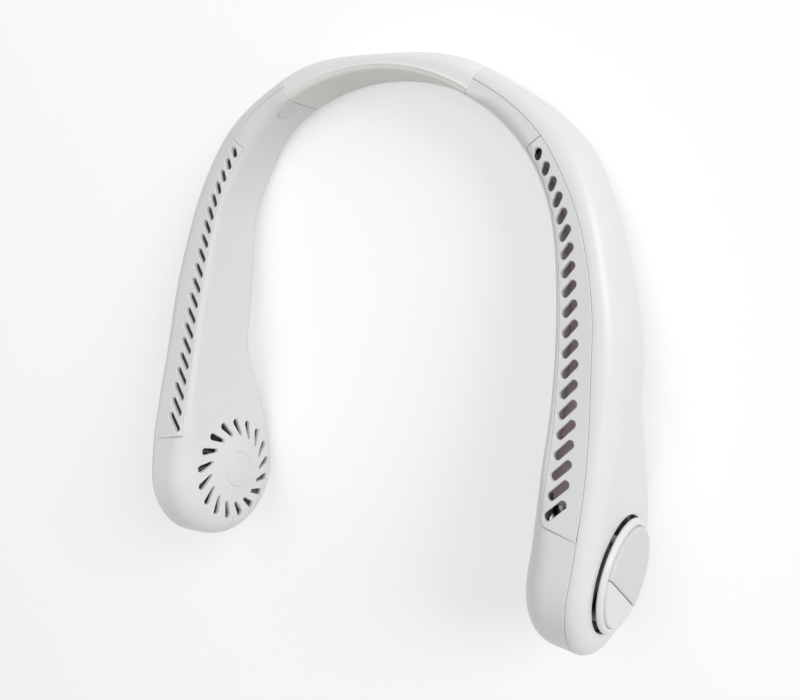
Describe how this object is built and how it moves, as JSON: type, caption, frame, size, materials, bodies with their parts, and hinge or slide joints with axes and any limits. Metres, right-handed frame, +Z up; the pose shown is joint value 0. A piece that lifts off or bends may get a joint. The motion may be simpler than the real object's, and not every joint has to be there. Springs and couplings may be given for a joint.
{
  "type": "wearable neck fan",
  "caption": "Wearable neck fan: a soft neckband joins curved arms with rows of slanted air slots; round blower pods at their ends have domed grilles and raised discs.",
  "frame": {"origin": "bottom centre of the bounding box, on the table plane that both pods and the band rest on", "axes": "+Z up, on the side of the air slots; +Y towards the back of the neck, with the pods at -Y; +X towards the arm with the power button, the wearer's left"},
  "size_m": [0.1942, 0.1848, 0.0545],
  "materials": {
    "shell": "satin",
    "band_silicone": "satin",
    "pad_silicone": "satin",
    "cover_rubber": "satin",
    "dark_plastic": "matte",
    "fan_plastic": "matte",
    "steel": "satin",
    "core_steel": "satin",
    "magnet": "matte",
    "bronze": "satin",
    "copper": "satin",
    "board": "satin",
    "cable_rubber": "matte",
    "cell": "satin"
  },
  "bodies": {
    "neckband": {"band_cover": "band_silicone", "band_pad": "pad_silicone", "band_spring_strip": "steel", "band_cable": "cable_rubber"},
    "left_arm": {"left_end_plug": "dark_plastic", "left_inner_shell": "shell", "left_outer_shell": "shell", "left_vent_strip": "shell", "left_screw_cover": "cover_rubber", "left_shell_screw": "steel", "left_hub_cap": "shell", "left_cover_rim": "shell", "left_centre_plate": "shell", "left_cover_carrier": "dark_plastic", "left_fan_bearing": "bronze", "left_motor_core": "core_steel", "left_motor_coils": "copper", "left_motor_base": "fan_plastic", "left_motor_board": "board", "left_motor_screws": "steel", "left_motor_leads": "cable_rubber", "left_air_guide": "fan_plastic", "left_battery": "cell", "power_switch": "dark_plastic", "control_board": "board", "charging_socket": "steel"},
    "right_arm": {"right_end_plug": "dark_plastic", "right_inner_shell": "shell", "right_outer_shell": "shell", "right_vent_strip": "shell", "right_screw_cover": "cover_rubber", "right_shell_screw": "steel", "right_hub_cap": "shell", "right_cover_rim": "shell", "right_centre_plate": "shell", "right_cover_carrier": "dark_plastic", "right_fan_bearing": "bronze", "right_motor_core": "core_steel", "right_motor_coils": "copper", "right_motor_base": "fan_plastic", "right_motor_board": "board", "right_motor_screws": "steel", "right_motor_leads": "cable_rubber", "right_air_guide": "fan_plastic", "right_battery": "cell"},
    "left_fan": {"left_fan_wheel": "fan_plastic", "left_magnet_ring": "magnet", "left_fan_shaft": "steel"},
    "right_fan": {"right_fan_wheel": "fan_plastic", "right_magnet_ring": "magnet", "right_fan_shaft": "steel"},
    "power_button": {"power_button": "shell"}
  },
  "joints": [
    {"name": "left_band_bend", "type": "hinge", "parent": "neckband", "child": "left_arm", "pos_m": [0.02205, 0.0853, 0.00923], "axis": [0, 0.2448, 0.9696], "range_deg": [-8, 20], "stiffness_Nm_per_rad": 0.7, "deforming": ["band_cover", "band_pad", "band_spring_strip", "band_cable"]},
    {"name": "right_band_bend", "type": "hinge", "parent": "neckband", "child": "right_arm", "pos_m": [-0.02205, 0.0853, 0.00923], "axis": [0, -0.2448, -0.9696], "range_deg": [-8, 20], "stiffness_Nm_per_rad": 0.7, "deforming": ["band_cover", "band_pad", "band_spring_strip", "band_cable"]},
    {"name": "left_fan_spin", "type": "hinge", "parent": "left_arm", "child": "left_fan", "pos_m": [0.07082, -0.06402, 0.02714], "axis": [0.9962, -0.0845, 0.0213], "continuous": true},
    {"name": "right_fan_spin", "type": "hinge", "parent": "right_arm", "child": "right_fan", "pos_m": [-0.07082, -0.06402, 0.02714], "axis": [-0.9962, -0.0845, 0.0213], "continuous": true},
    {"name": "button_press", "type": "slide", "parent": "left_arm", "child": "power_button", "axis": [-0.9962, 0.0845, -0.0213], "range_m": [0, 0.0005], "stiffness_N_per_m": 600, "springref_m": -0.0005}
  ]
}
